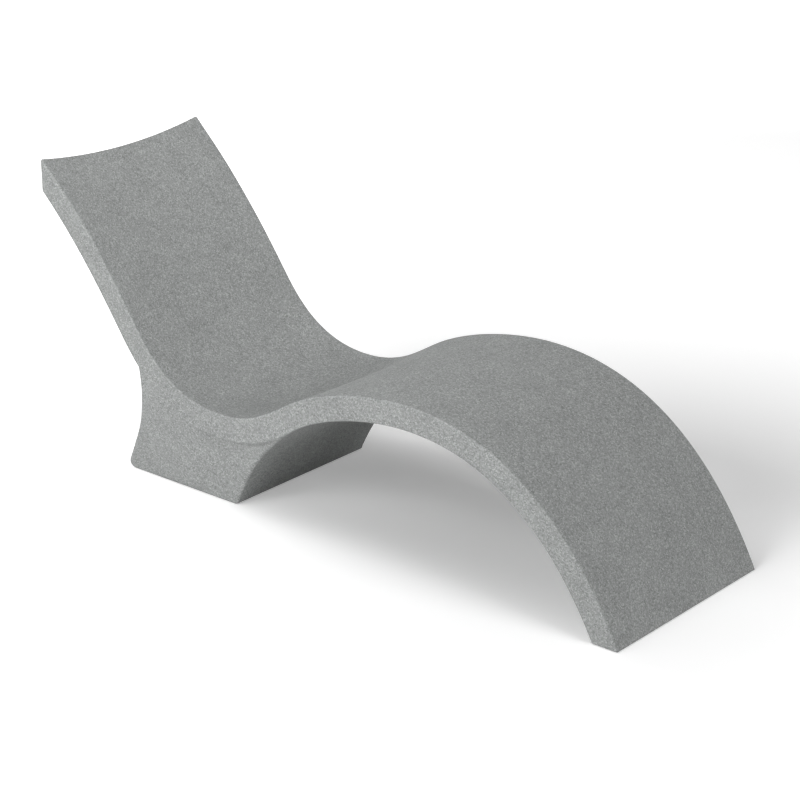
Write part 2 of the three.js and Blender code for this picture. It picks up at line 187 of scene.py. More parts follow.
@dataclass(frozen=True)
class SideView:
    """Driving sizes of the shell's side view, in metres and degrees, and the curves drawn from them.

    A pair of bend or rise shares places a point between two stretches, as shares of the run and of the
    drop or climb. Handle shares are the lengths of a curve's two handles, as shares of its span.
    """

    back_run: float = 634 * MM
    thigh_run: float = 618 * MM
    seat_height: float = 265 * MM
    knee_height: float = 447 * MM
    head_lean: float = 41.0
    bend_lean: float = 54.4
    rise_lean: float = 27.5
    foot_lean: float = 63.4
    bend_shares: tuple[float, float] = (0.533, 0.705)
    rise_shares: tuple[float, float] = (0.425, 0.545)
    handle_shares: tuple[tuple[float, float], ...] = (
        (0.45, 0.19), (0.24, 0.5), (0.45, 0.31), (0.29, 0.33), (0.35, 0.43))
    thickness: float = 66 * MM
    dish_depth: float = 19 * MM
    dish_end_shares: tuple[float, float] = (0.05, 0.75)
    dish_turn: float = 240 * MM
    base_length: float = 408 * MM
    base_ahead: float = 12 * MM
    rear_flare: float = 30.0
    rear_flat_height: float = 110 * MM
    rear_corner_radius: float = 17 * MM
    rear_join_share: float = 0.29
    waist_lean: float = 11.0
    waist_handle_shares: tuple[float, float] = (0.4, 0.42)
    front_lean: float = 32.0
    front_flat_height: float = 96 * MM
    front_corner_radius: float = 17 * MM
    front_handle_shares: tuple[float, float] = (0.3, 0.3)
    front_hollow: float = 8.9 * MM
    hollow_top: float = 215 * MM

    def upper_edge(self) -> list[Cubic]:
        """Upper edge of the side faces, from the head to the ground at the foot.

        Returns:
            One curve for each stretch: head, back, seat, rise and legs.
        """
        low, high = SHELL_BOX
        seat_x = low.x + self.back_run
        drop = high.z - self.seat_height
        climb = self.knee_height - self.seat_height
        marks = [
            (Vector((low.x, high.z)), heading(-self.head_lean)),
            (Vector((low.x + self.back_run * self.bend_shares[0], high.z - drop * self.bend_shares[1])),
             heading(-self.bend_lean)),
            (Vector((seat_x, self.seat_height)), heading(0)),
            (Vector((seat_x + self.thigh_run * self.rise_shares[0],
                     self.seat_height + climb * self.rise_shares[1])), heading(self.rise_lean)),
            (Vector((seat_x + self.thigh_run, self.knee_height)), heading(0)),
            (Vector((high.x, 0.0)), heading(-self.foot_lean)),
        ]
        return [Cubic.between(*start, *end, shares)
                for start, end, shares in zip(marks, marks[1:], self.handle_shares)]

    def sink(self, place: Vector, direction: Vector) -> Vector:
        """How far the middle of the upper face lies from the upper edge.

        Args:
            place: Point on the upper edge.
            direction: Heading of the edge there.

        Returns:
            The offset in the side view. It is plumb at the head end, so that the end face stays flat,
            and square to the edge further on.
        """
        head_x = SHELL_BOX[0].x
        start, end = (head_x + self.back_run + self.thigh_run * share for share in self.dish_end_shares)
        depth = self.dish_depth * (1 - smooth(place.x, start, end))
        inward = right_of(direction)
        lean = math.atan2(-inward.x, -inward.y)
        turned = lean * smooth(place.x, head_x, head_x + self.dish_turn)
        return Vector((-math.sin(turned), -math.cos(turned))) * depth / math.cos(lean - turned)

    def base_corners(self) -> tuple[Vector, Vector, Vector, Vector]:
        """Rear and front corner of the block on the ground.

        Returns:
            The rear corner and its wall's heading, then the front corner and its wall's heading.
        """
        front = Vector((SHELL_BOX[0].x + self.back_run + self.base_ahead, 0.0))
        rear = front - Vector((self.base_length, 0.0))
        return rear, heading(90 - self.rear_flare), front, heading(90 - self.front_lean)

    def waist(self) -> Cubic:
        """Rear face of the block.

        Returns:
            The curve from the face's flat part up to the underside of the back.
        """
        rear, rising, _, _ = self.base_corners()
        _, back, *_ = self.upper_edge()
        return Cubic.between(rear + rising * (self.rear_flat_height / rising.y), rising,
                             back.beside(self.rear_join_share, self.thickness),
                             heading(90 + self.waist_lean), self.waist_handle_shares)

    def arch(self) -> Cubic:
        """Front face of the block.

        Returns:
            The curve from the face's flat part up to the underside of the rise.
        """
        _, _, front, rising = self.base_corners()
        _, _, seat, *_ = self.upper_edge()
        return Cubic.between(front + rising * (self.front_flat_height / rising.y), rising,
                             seat.beside(1.0, self.thickness), heading(self.rise_lean),
                             self.front_handle_shares)

    def hollow_share(self, height: float) -> float:
        """How much of its full depth a hollow face of the block has at a height, from 0 to 1."""
        share = min(1.0, max(0.0, height / self.hollow_top))
        return 4 * share * (1 - share)


def rounded_corner(corner: Vector, arriving: Vector, leaving: Vector, radius: float,
                   steps: int) -> list[Vector]:
    """Arc that rounds a corner of a side view.

    Args:
        corner: The sharp corner.
        arriving: Direction from the corner back along the first side.
        leaving: Direction from the corner along the second side.
        radius: Radius of the arc.
        steps: Number of steps along it.

    Returns:
        Points from the first side to the second.
    """
    half = arriving.angle(leaving) / 2
    centre = corner + (arriving + leaving).normalized() * (radius / math.sin(half))
    reach = radius / math.tan(half)
    first = corner + arriving * reach - centre
    last = corner + leaving * reach - centre
    turn = math.atan2(first.cross(last), first.dot(last))
    return [centre + Matrix.Rotation(turn * i / steps, 2) @ first for i in range(steps + 1)]


# Mesh helpers


def link(obj: bpy.types.Object) -> bpy.types.Object:
    """Puts an object in the scene."""
    bpy.context.scene.collection.objects.link(obj)
    return obj


def discard(obj: bpy.types.Object) -> None:
    """Removes an object and its mesh."""
    mesh = obj.data
    bpy.data.objects.remove(obj)
    bpy.data.meshes.remove(mesh)


def add_object(name: str, bm: bmesh.types.BMesh) -> bpy.types.Object:
    """Turns a bmesh into a smooth-shaded object at the origin.

    Args:
        name: Name of the object and its mesh.
        bm: The mesh, which is freed.

    Returns:
        The new object.
    """
    bmesh.ops.recalc_face_normals(bm, faces=bm.faces)
    mesh = bpy.data.meshes.new(name)
    bm.to_mesh(mesh)
    bm.free()
    for polygon in mesh.polygons:
        polygon.use_smooth = True
    return link(bpy.data.objects.new(name, mesh))


def settle(obj: bpy.types.Object) -> None:
    """Applies an object's modifiers to its mesh.

    Args:
        obj: The object, which keeps its name and loses its modifiers.
    """
    graph = bpy.context.evaluated_depsgraph_get()
    mesh = bpy.data.meshes.new_from_object(obj.evaluated_get(graph))
    old = obj.data
    obj.modifiers.clear()
    obj.data = mesh
    mesh.name = obj.name
    bpy.data.meshes.remove(old)


def combine(obj: bpy.types.Object, other: bpy.types.Object, operation: Operation) -> None:
    """Joins another solid to an object or cuts it away, and removes the other one.

    Args:
        obj: The object to change.
        other: The second solid.
        operation: Whether it is joined or cut.
    """
    modifier = obj.modifiers.new(operation.name.lower(), "BOOLEAN")
    modifier.operation = operation.value
    modifier.solver = "EXACT"
    modifier.object = other
    settle(obj)
    discard(other)


def shade(obj: bpy.types.Object, sharp_above: float) -> None:
    """Marks sharp edges by angle and weights the normals by face area.

    Args:
        obj: The object to shade.
        sharp_above: Edges that turn by more than this many degrees stay sharp.
    """
    obj.data.set_sharp_from_angle(angle=math.radians(sharp_above))
    modifier = obj.modifiers.new("even shading", "WEIGHTED_NORMAL")
    modifier.keep_sharp = True
    modifier.weight = AREA_WEIGHT


# The shell


@dataclass(frozen=True)
class MouldedShell:
    """The hollow moulding, as one closed skin: ribbon and block in a single flow of faces.

    Sizes are in metres. The soft places give where along the lounger, and how high, an edge is rounder.
    A face faces up or to the side where that part of its normal is over the value given. A side face is
    known by having more corners than side_corners, and is cut again while it reaches past the last cut
    by more than the margin.
    """

    view: SideView
    name: str = "lounger_shell"
    edge_radius: float = 4.5 * MM
    soft_radius: float = 9 * MM
    soft_back: tuple[float, float, float] = (50 * MM, -780 * MM, -600 * MM)
    soft_front: tuple[float, float] = (-500 * MM, -400 * MM)
    soft_end: tuple[float, float] = (0.0, 408 * MM)
    soft_heights: tuple[float, float, float] = (20 * MM, 140 * MM, 240 * MM)
    facing_up: float = 0.3
    facing_side: float = 0.999
    edge_segments: int = 4
    facet_pitch: float = 9 * MM
    across_steps: int = 30
    corner_steps: int = 6
    flat_steps: int = 7
    draft: float = 44 * MM
    draft_height: float = 215 * MM
    draft_ease: float = 38 * MM
    crease_width: float = 12 * MM
    crease_depth: float = 12 * MM
    crease_fade: float = 170 * MM
    side_hollow: float = 7 * MM
    crease_start: float = -440 * MM
    crease_end: float = -310 * MM
    side_grid: float = 4 * MM
    side_margin: float = 0.1 * MM
    side_corners: int = 30
    waist_samples: int = 30
    edge_samples: int = 200
    sharp_edge: float = 40.0

    @property
    def half_width(self) -> float:
        """Half of the shell's width in the frame."""
        return SHELL_BOX[1].y

    def outline(self) -> tuple[list[Vector], list[Vector]]:
        """Side view of the whole shell, as one closed loop.

        Returns:
            The points, from the head along the upper edge and back along the underside, and for each
            one the sink of the upper face there.
        """
        view = self.view
        curves = view.upper_edge()
        points, sinks = [], []
        for curve in curves:
            count = curve.steps(self.facet_pitch)
            for i in range(count):
                points.append(curve.point(i / count))
                sinks.append(view.sink(points[-1], curve.heading(i / count)))
        points.append(curves[-1].end)
        sinks.append(Vector((0.0, 0.0)))
        underside = self._legs_underside(curves) + self._block() + self._back_underside(curves)
        return points + underside, sinks + [Vector((0.0, 0.0))] * len(underside)

    def _legs_underside(self, curves: list[Cubic]) -> list[Vector]:
        """Underside of the legs.

        Args:
            curves: The upper edge.

        Returns:
            Points from the ground at the foot to where the block begins.
        """
        _, _, _, rise, legs = curves
        points = []
        for curve in (legs, rise):
            count = curve.steps(self.facet_pitch)
            points += [curve.beside(1 - i / count, self.view.thickness) for i in range(count)]
        above = [point for point in points if point.y > 0]
        below = points[len(points) - len(above) - 1]
        share = above[0].y / (above[0].y - below.y)
        return [above[0].lerp(below, share)] + above

    def _block(self) -> list[Vector]:
        """Side view of the block.

        Returns:
            Points down its front face, round its corners on the ground and up its rear face.
        """
        view = self.view
        rear, rear_heading, front, front_heading = view.base_corners()
        arch, waist = view.arch(), view.waist()
        level = heading(0)
        arch_steps, waist_steps = arch.steps(self.facet_pitch), waist.steps(self.facet_pitch)
        down = [arch.point(1 - i / arch_steps) for i in range(arch_steps)]
        down += [arch.start.lerp(front, i / self.flat_steps) for i in range(self.flat_steps)]
        down = [point - level * view.front_hollow * view.hollow_share(point.y) for point in down]
        up = [waist.point(i / waist_steps) for i in range(waist_steps)]
        return (down
                + rounded_corner(front, front_heading, -level, view.front_corner_radius, self.corner_steps)
                + rounded_corner(rear, level, rear_heading, view.rear_corner_radius, self.corner_steps)
                + up)

    def _back_underside(self, curves: list[Cubic]) -> list[Vector]:
        """Underside of the back.

        Args:
            curves: The upper edge.

        Returns:
            Points from the block up to the plumb cut of the head end.
        """
        view = self.view
        head_x = SHELL_BOX[0].x
        head, back, *_ = curves
        start = view.rear_join_share
        count = max(LEAST_STEPS, round(back.steps(self.facet_pitch) * start))
        points = [back.beside(start * (1 - i / count), view.thickness) for i in range(count)]
        count = head.steps(self.facet_pitch)
        points += [head.beside(1 - i / count, view.thickness) for i in range(count + 1)]
        ahead = [point for point in points if point.x > head_x]
        behind = points[len(ahead)]
        share = (ahead[-1].x - head_x) / (ahead[-1].x - behind.x)
        return ahead + [ahead[-1].lerp(behind, share)]

    def _prism(self) -> bmesh.types.BMesh:
        """Draws the outline across the width, with its upper face sunk to the dish.

        Returns:
            The closed mesh, with sharp edges.
        """
        points, sinks = self.outline()
        bm = bmesh.new()
        sink = bm.verts.layers.float_vector.new("sink")
        ring = bmesh.ops.create_circle(bm, cap_ends=False, segments=len(points), radius=1)["verts"]
        for vertex, point, offset in zip(ring, points, sinks):
            vertex.co = Vector((point.x, -self.half_width, point.y))
            vertex[sink] = Vector((offset.x, 0.0, offset.y))
        step = Vector((0.0, 2 * self.half_width / self.across_steps, 0.0))
        edges = list(bm.edges)
        for _ in range(self.across_steps):
            grown = bmesh.ops.extrude_edge_only(bm, edges=edges)["geom"]
            verts = [item for item in grown if isinstance(item, bmesh.types.BMVert)]
            bmesh.ops.translate(bm, verts=verts, vec=step)
            edges = [item for item in grown if isinstance(item, bmesh.types.BMEdge) and item.is_boundary]
        bmesh.ops.holes_fill(bm, edges=[edge for edge in bm.edges if edge.is_boundary], sides=0)
        for vertex in bm.verts:
            vertex.co += vertex[sink] * (1 - (vertex.co.y / self.half_width) ** 2)
        bmesh.ops.recalc_face_normals(bm, faces=bm.faces)
        return bm

    def _softness(self, edge: bmesh.types.BMEdge) -> float:
        """How soft an edge is, as a share of the softest rounding.

        Args:
            edge: A sharp edge.

        Returns:
            The share. The back's upper edge and the front of the block are softer than the rest.
        """
        x, _, z = (edge.verts[0].co + edge.verts[1].co) / 2
        if max(face.normal.z for face in edge.link_faces) > self.facing_up:
            run_in, start, end = self.soft_back
            head_x = SHELL_BOX[0].x
            extra = smooth(x, head_x, head_x + run_in) * (1 - smooth(x, start, end))
        else:
            low, start, end = self.soft_heights
            extra = smooth(z, 0.0, low) * (1 - smooth(z, start, end)) * smooth(x, *self.soft_front)
            extra *= 1 - smooth(x, *self.soft_end)
        least = self.edge_radius / self.soft_radius
        return least + (1 - least) * extra

    def _round_edges(self, bm: bmesh.types.BMesh) -> bmesh.types.BMesh:
        """Rounds every edge of the moulding that turns sharply.

        Args:
            bm: The mesh with sharp edges, which is freed.

        Returns:
            The mesh with round edges.
        """
        limit = math.radians(self.sharp_edge)
        weight = bm.edges.layers.float.new("bevel_weight_edge")
        for edge in bm.edges:
            if edge.calc_face_angle(0.0) > limit:
                edge[weight] = self._softness(edge)
        obj = add_object(self.name, bm)
        modifier = obj.modifiers.new("round edges", "BEVEL")
        modifier.limit_method = "WEIGHT"
        modifier.width = self.soft_radius
        modifier.segments = self.edge_segments
        modifier.use_clamp_overlap = False
        settle(obj)
        rounded = bmesh.new()
        rounded.from_mesh(obj.data)
        discard(obj)
        return rounded

    def _grid_sides(self, bm: bmesh.types.BMesh) -> None:
        """Cuts the flat side faces round the block into small cells, so that they can be bent.

        Each side is first parted behind the waist and ahead of the arch, so that every plane crosses
        what it cuts only once.

        Args:
            bm: The mesh.
        """
        waist, arch = self.view.waist(), self.view.arch()
        along = [waist.point(i / self.waist_samples) for i in range(self.waist_samples)]
        narrow = max(along, key=lambda point: point.x)
        rear = self.view.base_corners()[0].x
        for side in (-1, 1):
            cap = next(face for face in bm.faces if len(face.verts) > self.side_corners
                       and face.normal.y * side > self.facing_side)
            for throat in (narrow, arch.end):
                cap = self._part(bm, cap, throat)
            slabs = self._slice(bm, [cap], Vector((1, 0, 0)), rear, arch.end.x)
            self._slice(bm, slabs, Vector((0, 0, 1)), 0.0, arch.end.y)

    def _part(self, bm: bmesh.types.BMesh, cap: bmesh.types.BMFace, throat: Vector) -> bmesh.types.BMFace:
        """Parts a side face from a point on its underside straight up to the upper edge.

        Args:
            bm: The mesh.
            cap: The side face.
            throat: The point, in the side view.

        Returns:
            The part that holds the block.
        """
        foot = self.view.base_corners()[2]
        low = min(cap.verts, key=lambda v: (v.co.xz - throat).length)
        over = [v for v in cap.verts if v.co.z > low.co.z + self.view.thickness / 2]
        high = min(over, key=lambda v: abs(v.co.x - low.co.x))
        bmesh.ops.connect_verts(bm, verts=[low, high])
        parts = [face for face in low.link_faces if high in face.verts]
        return min(parts, key=lambda face: min((v.co.xz - foot).length for v in face.verts))

    def _slice(self, bm: bmesh.types.BMesh, faces: list[bmesh.types.BMFace], axis: Vector, low: float,
               high: float) -> list[bmesh.types.BMFace]:
        """Cuts faces into slices along an axis.

        Args:
            bm: The mesh.
            faces: The faces to cut.
            axis: Direction square to the cuts.
            low: Level below the first cut.
            high: Level that no cut passes.

        Returns:
            All the slices.
        """
        done: list[bmesh.types.BMFace] = []
        for i in range(1, math.ceil((high - low) / self.side_grid)):
            level = low + i * self.side_grid
            pieces = self._bisect(bm, faces, axis, level)
            faces = [face for face in pieces if self._reaches(face, axis, level + self.side_margin)]
            done += [face for face in pieces if not self._reaches(face, axis, level + self.side_margin)]
        return done + faces

    @staticmethod
    def _reaches(face: bmesh.types.BMFace, axis: Vector, level: float) -> bool:
        """Whether a face reaches past a level along an axis."""
        return any(vertex.co.dot(axis) > level for vertex in face.verts)

    @staticmethod
    def _bisect(bm: bmesh.types.BMesh, faces: list[bmesh.types.BMFace], axis: Vector,
                level: float) -> list[bmesh.types.BMFace]:
        """Cuts faces by a plane square to an axis.

        Args:
            bm: The mesh.
            faces: The faces to cut.
            axis: Direction square to the plane.
            level: Where the plane lies along it.

        Returns:
            The faces after the cut.
        """
        edges = {edge for face in faces for edge in face.edges}
        verts = {vertex for face in faces for vertex in face.verts}
        cut = bmesh.ops.bisect_plane(bm, geom=[*verts, *edges, *faces], dist=CUT_REACH,
                                     plane_co=axis * level, plane_no=axis)["geom"]
        return [item for item in cut if isinstance(item, bmesh.types.BMFace)]

    def _draw_in(self, bm: bmesh.types.BMesh) -> None:
        """Draws the block in towards the ground, hollow at the front under a crease along the ribbon.

        Args:
            bm: The mesh, with its side faces in small cells.
        """
        curves = self.view.upper_edge()
        tree = KDTree(len(curves) * self.edge_samples)
        for place, curve in enumerate(curves):
            for i in range(self.edge_samples):
                point = curve.point(i / self.edge_samples)
                tree.insert((point.x, 0.0, point.y), place * self.edge_samples + i)
        tree.balance()
        for vertex in bm.verts:
            x, y, z = vertex.co
            below = tree.find((x, 0.0, z))[2] - self.view.thickness
            crease = self.crease_depth * smooth(z, 0.0, self.crease_fade)
            hollow = crease + self.side_hollow * self.view.hollow_share(z)
            inward = self._draft_at(z) + hollow * smooth(x, self.crease_start, self.crease_end)
            inward *= smooth(below, 0.0, self.crease_width)
            vertex.co.y = y * (1 - inward / self.half_width)

    def _draft_at(self, height: float) -> float:
        """How far the block's side is drawn in.

        Args:
            height: Height above the ground.

        Returns:
            The distance on each side. It starts with an eased bend at the top of the draft.
        """
        slope = self.draft / self.draft_height
        drop = self.draft_height - height
        if abs(drop) < self.draft_ease:
            return slope * (drop + self.draft_ease) ** 2 / (4 * self.draft_ease)
        return slope * max(0.0, drop)

    def build(self) -> bpy.types.Object:
        """Models the shell.

        Returns:
            The shell without its port recesses.
        """
        bm = self._round_edges(self._prism())
        self._grid_sides(bm)
        self._draw_in(bm)
        return add_object(self.name, bm)


# The ports


@dataclass(frozen=True)
class ThreadSize:
    """A right-hand thread, in metres.

    The ridge's widths at its root and crest are shares of the pitch. Its root is buried: it lies
    root_depths times the thread's depth below the radius.
    """

    radius: float
    pitch: float
    depth: float
    length: float
    clearance: float = 0.4 * MM
    root_share: float = 0.72
    crest_share: float = 0.24
    root_depths: float = 2.0


@dataclass(frozen=True)
class PortSize:
    """Sizes of one port, its insert, its gasket and its plug, in metres."""

    thread: ThreadSize
    insert_wall: float
    flange_width: float
    flange_thickness: float
    barrel_reach: float
    gasket_thickness: float
    gasket_width: float
    head_thickness: float
    head_overhang: float
    head_round: float
    head_clearance: float
    head_sink: float
    slot_width: float
    slot_depth: float
    slot_margin: float
    shell_wall: float = 6 * MM
    gap: float = 0.3 * MM

    @property
    def barrel_radius(self) -> float:
        """Outer radius of the insert's barrel."""
        return self.thread.radius + self.thread.clearance + self.insert_wall

    @property
    def flange_radius(self) -> float:
        """Outer radius of the insert's flanges."""
        return self.barrel_radius + self.flange_width

    @property
    def gasket_radius(self) -> float:
        """Outer radius of the gasket."""
        return self.thread.radius + self.gap + self.gasket_width

    @property
    def head_radius(self) -> float:
        """Outer radius of the plug's head."""
        return self.gasket_radius + self.head_overhang

    @property
    def recess_radius(self) -> float:
        """Radius of the recess in the shell."""
        return self.head_radius + self.head_clearance

    @property
    def head_bottom(self) -> float:
        """Level of the head's underside, with the shell's outer face at 0."""
        return -self.head_sink - self.head_thickness

    @property
    def gasket_bottom(self) -> float:
        """Level of the gasket's underside."""
        return self.head_bottom - self.gap - self.gasket_thickness

    @property
    def flange_top(self) -> float:
        """Level of the insert's outer face."""
        return self.gasket_bottom - self.gap

    @property
    def floor(self) -> float:
        """Level of the recess's floor."""
        return self.flange_top - self.flange_thickness - self.gap

    @property
    def barrel_end(self) -> float:
        """Level of the insert's inner end."""
        return self.floor - self.shell_wall - self.barrel_reach


FILL_PORT = PortSize(
    thread=ThreadSize(radius=16.5 * MM, pitch=4 * MM, depth=1.6 * MM, length=17 * MM),
    insert_wall=4.5 * MM, flange_width=5 * MM, flange_thickness=3 * MM, barrel_reach=9 * MM,
    gasket_thickness=3 * MM, gasket_width=8 * MM,
    head_thickness=9 * MM, head_overhang=3.5 * MM, head_round=2 * MM, head_clearance=3.5 * MM,
    head_sink=1.5 * MM,
    slot_width=3.2 * MM, slot_depth=4 * MM, slot_margin=6 * MM)

VENT_PORT = PortSize(
    thread=ThreadSize(radius=9.5 * MM, pitch=3 * MM, depth=1.2 * MM, length=13 * MM),
    insert_wall=3 * MM, flange_width=3.5 * MM, flange_thickness=2 * MM, barrel_reach=7 * MM,
    gasket_thickness=2 * MM, gasket_width=5 * MM,
    head_thickness=6 * MM, head_overhang=2.5 * MM, head_round=1.5 * MM, head_clearance=3 * MM,
    head_sink=1 * MM,
    slot_width=2.4 * MM, slot_depth=2.6 * MM, slot_margin=4 * MM)


def spin_profile(bm: bmesh.types.BMesh, corners: list[tuple[float, float]], steps: int) -> None:
    """Turns a closed half section into a solid ring or disc.

    Args:
        bm: Where the solid is added.
        corners: Half section as (radius, level) pairs, in order round it.
        steps: Number of steps in the turn.
    """
    made = bmesh.ops.create_circle(bm, cap_ends=False, segments=len(corners), radius=1)["verts"]
    for vertex, (radius, level) in zip(made, corners):
        vertex.co = Vector((radius, 0.0, level))
    edges = list({edge for vertex in made for edge in vertex.link_edges})
    bmesh.ops.spin(bm, geom=[*made, *edges], cent=(0, 0, 0), axis=(0, 0, 1), angle=2 * math.pi,
                   steps=steps, use_merge=True)
    bmesh.ops.remove_doubles(bm, verts=bm.verts, dist=WELD_REACH)
    bmesh.ops.dissolve_degenerate(bm, edges=bm.edges, dist=WELD_REACH)


def quarter_round(radius: float, level: float, size: float, start: float,
                  steps: int) -> list[tuple[float, float]]:
    """Quarter circle in a half section.

    Args:
        radius: Radius at the quarter circle's centre.
        level: Level of its centre.
        size: Its own radius.
        start: Angle at which it starts, in degrees; it runs a quarter turn to the left.
        steps: Number of steps along it.

    Returns:
        Its points as (radius, level) pairs.
    """
    angles = [math.radians(start + 90 * i / steps) for i in range(steps + 1)]
    return [(radius + size * math.cos(a), level + size * math.sin(a)) for a in angles]


def thread_ridge(name: str, thread: ThreadSize, low: float, high: float, clearance: float,
                 turn_steps: int) -> bpy.types.Object:
    """A helical ridge, its root buried a little way in the bar that carries it.

    Args:
        name: Name of the object.
        thread: The thread's sizes.
        low: Level where the ridge starts.
        high: Level where it ends.
        clearance: How much the ridge is fattened where it cuts a groove.
        turn_steps: Steps in one turn.

    Returns:
        The ridge as a closed solid.
    """
    root = thread.radius - thread.root_depths * thread.depth
    crest = thread.radius + clearance
    root_half = thread.pitch * thread.root_share / 2 + clearance
    crest_half = thread.pitch * thread.crest_share / 2 + clearance
    turns = (high - low) / thread.pitch
    bm = bmesh.new()
    section = bmesh.ops.create_circle(bm, cap_ends=True, segments=4, radius=1)["verts"]
    corners = [(root, -root_half), (crest, -crest_half), (crest, crest_half), (root, root_half)]
    for vertex, (radius, level) in zip(section, corners):
        vertex.co = Vector((radius, 0.0, low + level))
    phase = 2 * math.pi * low / thread.pitch
    bmesh.ops.rotate(bm, verts=section, cent=(0, 0, 0), matrix=Matrix.Rotation(phase, 3, "Z"))
    steps = round(turns * turn_steps)
    bmesh.ops.spin(bm, geom=[*bm.verts, *bm.edges, *bm.faces], cent=(0, 0, 0), axis=(0, 0, 1),
                   dvec=(0, 0, (high - low) / steps), angle=2 * math.pi * turns, steps=steps)
    return add_object(name, bm)


@dataclass(frozen=True)
class ScrewPort:
    """One port: the recess in the shell, the moulded-in brass insert, the gasket and the screw plug."""

    name: str
    size: PortSize
    round_steps: int = 96
    thread_steps: int = 48
    corner_steps: int = 4
    slot_end_steps: int = 6
    slot_end_share: float = 0.49
    recess_round: float = 2.5 * MM
    small_round: float = 0.6 * MM
    chamfer: float = 1.2 * MM
    overrun: float = 12 * MM

    def placement(self) -> Matrix:
        """Transform from the port's own frame, with +Z straight out of the shell, to the part's.

        Returns:
            The transform, read from the axis of the plug's hinge.
        """
        joint = next(j for j in frame["joints"] if j["name"] == f"{self.name}_plug_turn")
        out = Vector(joint["axis"]).normalized()
        across = Vector((0, 1, 0))
        turned = Matrix((across, out.cross(across), out)).transposed().to_4x4()
        return Matrix.Translation(Vector(joint["pos_m"])) @ turned

    def _place(self, obj: bpy.types.Object) -> bpy.types.Object:
        """Moves an object's mesh from the port's own frame to the part's."""
        obj.data.transform(self.placement())
        return obj

    def _ring(self, name: str, corners: list[tuple[float, float]]) -> bpy.types.Object:
        """Turns a half section into a solid.

        Args:
            name: Name of the object.
            corners: Half section as (radius, level) pairs.

        Returns:
            The solid, in the port's own frame.
        """
        bm = bmesh.new()
        spin_profile(bm, corners, self.round_steps)
        return add_object(name, bm)

    def cut_recess(self, shell: bpy.types.Object) -> None:
        """Cuts the recess and the insert's socket into the shell.

        Args:
            shell: The shell's object.
        """
        size = self.size
        inner = size.floor - size.shell_wall
        socket = size.flange_radius + size.gap
        mouth = size.recess_radius + self.recess_round
        turns = [math.radians(90 * i / self.corner_steps) for i in range(self.corner_steps)]
        edge = [(mouth - self.recess_round * math.cos(turn), self.recess_round * (math.sin(turn) - 1))
                for turn in turns]
        cutter = self._ring(f"{self.name}_cutter", [
            (0.0, size.barrel_end - size.gap),
            (socket, size.barrel_end - size.gap),
            (socket, inner),
            (size.barrel_radius + size.gap, inner),
            (size.barrel_radius + size.gap, size.floor),
            (size.recess_radius, size.floor),
            *edge,
            (mouth, 0.0),
            (mouth, self.overrun),
            (0.0, self.overrun),
        ])
        combine(shell, self._place(cutter), Operation.CUT)

    def insert(self) -> bpy.types.Object:
        """Brass spool with flanges that hold it in the shell's wall, and its thread.

        Returns:
            The insert's object.
        """
        size, thread = self.size, self.size.thread
        inner = size.floor - size.shell_wall - size.gap
        bore = thread.radius - thread.depth + thread.clearance
        soft = self.small_round
        spool = self._ring(f"{self.name}_insert", [
            (bore, size.barrel_end),
            (size.flange_radius, size.barrel_end),
            (size.flange_radius, size.barrel_end + size.flange_thickness),
            (size.barrel_radius, size.barrel_end + size.flange_thickness),
            (size.barrel_radius, inner - size.flange_thickness),
            (size.flange_radius, inner - size.flange_thickness),
            (size.flange_radius, inner),
            (size.barrel_radius, inner),
            (size.barrel_radius, size.flange_top - size.flange_thickness),
            (size.flange_radius, size.flange_top - size.flange_thickness),
            *quarter_round(size.flange_radius - soft, size.flange_top - soft, soft, 0, self.corner_steps),
            (bore + self.chamfer, size.flange_top),
            (bore, size.flange_top - self.chamfer),
        ])
        groove = thread_ridge(f"{self.name}_groove", thread, size.barrel_end - thread.pitch,
                              size.flange_top + thread.pitch, thread.clearance, self.thread_steps)
        combine(spool, groove, Operation.CUT)
        return self._place(spool)

    def gasket(self) -> bpy.types.Object:
        """Flat rubber ring with softly rounded edges.

        Returns:
            The gasket's object.
        """
        size = self.size
        bore = size.thread.radius + size.gap
        soft = self.small_round
        low, high = size.gasket_bottom, size.gasket_bottom + size.gasket_thickness
        return self._place(self._ring(f"{self.name}_gasket", [
            *quarter_round(bore + soft, low + soft, soft, 180, self.corner_steps),
            *quarter_round(size.gasket_radius - soft, low + soft, soft, 270, self.corner_steps),
            *quarter_round(size.gasket_radius - soft, high - soft, soft, 0, self.corner_steps),
            *quarter_round(bore + soft, high - soft, soft, 90, self.corner_steps),
        ]))

    def plug(self) -> bpy.types.Object:
        """Screw plug with a rounded head, a sunk face, a coin slot and its thread.

        Returns:
            The plug's object.
        """
        size, thread = self.size, self.size.thread
        shank = thread.radius - thread.depth
        shank_end = size.flange_top - thread.length
        top, bottom = -size.head_sink, size.head_bottom
        soft = self.small_round
        face = size.head_radius - 2 * size.head_round
        plug = self._ring(f"{self.name}_plug_body", [
            (0.0, shank_end),
            (shank - self.chamfer, shank_end),
            (shank, shank_end + self.chamfer),
            (shank, bottom),
            *quarter_round(size.head_radius - soft, bottom + soft, soft, 270, self.corner_steps),
            *quarter_round(size.head_radius - size.head_round, top - size.head_round, size.head_round,
                           0, self.corner_steps),
            (face, top),
            (face - soft, top - soft),
            (0.0, top - soft),
        ])
        ridge = thread_ridge(f"{self.name}_ridge", thread, shank_end + thread.pitch / 2,
                             size.flange_top - thread.pitch / 2, 0.0, self.thread_steps)
        combine(plug, ridge, Operation.JOIN)
        combine(plug, self._slot_cutter(top), Operation.CUT)
        return self._place(plug)

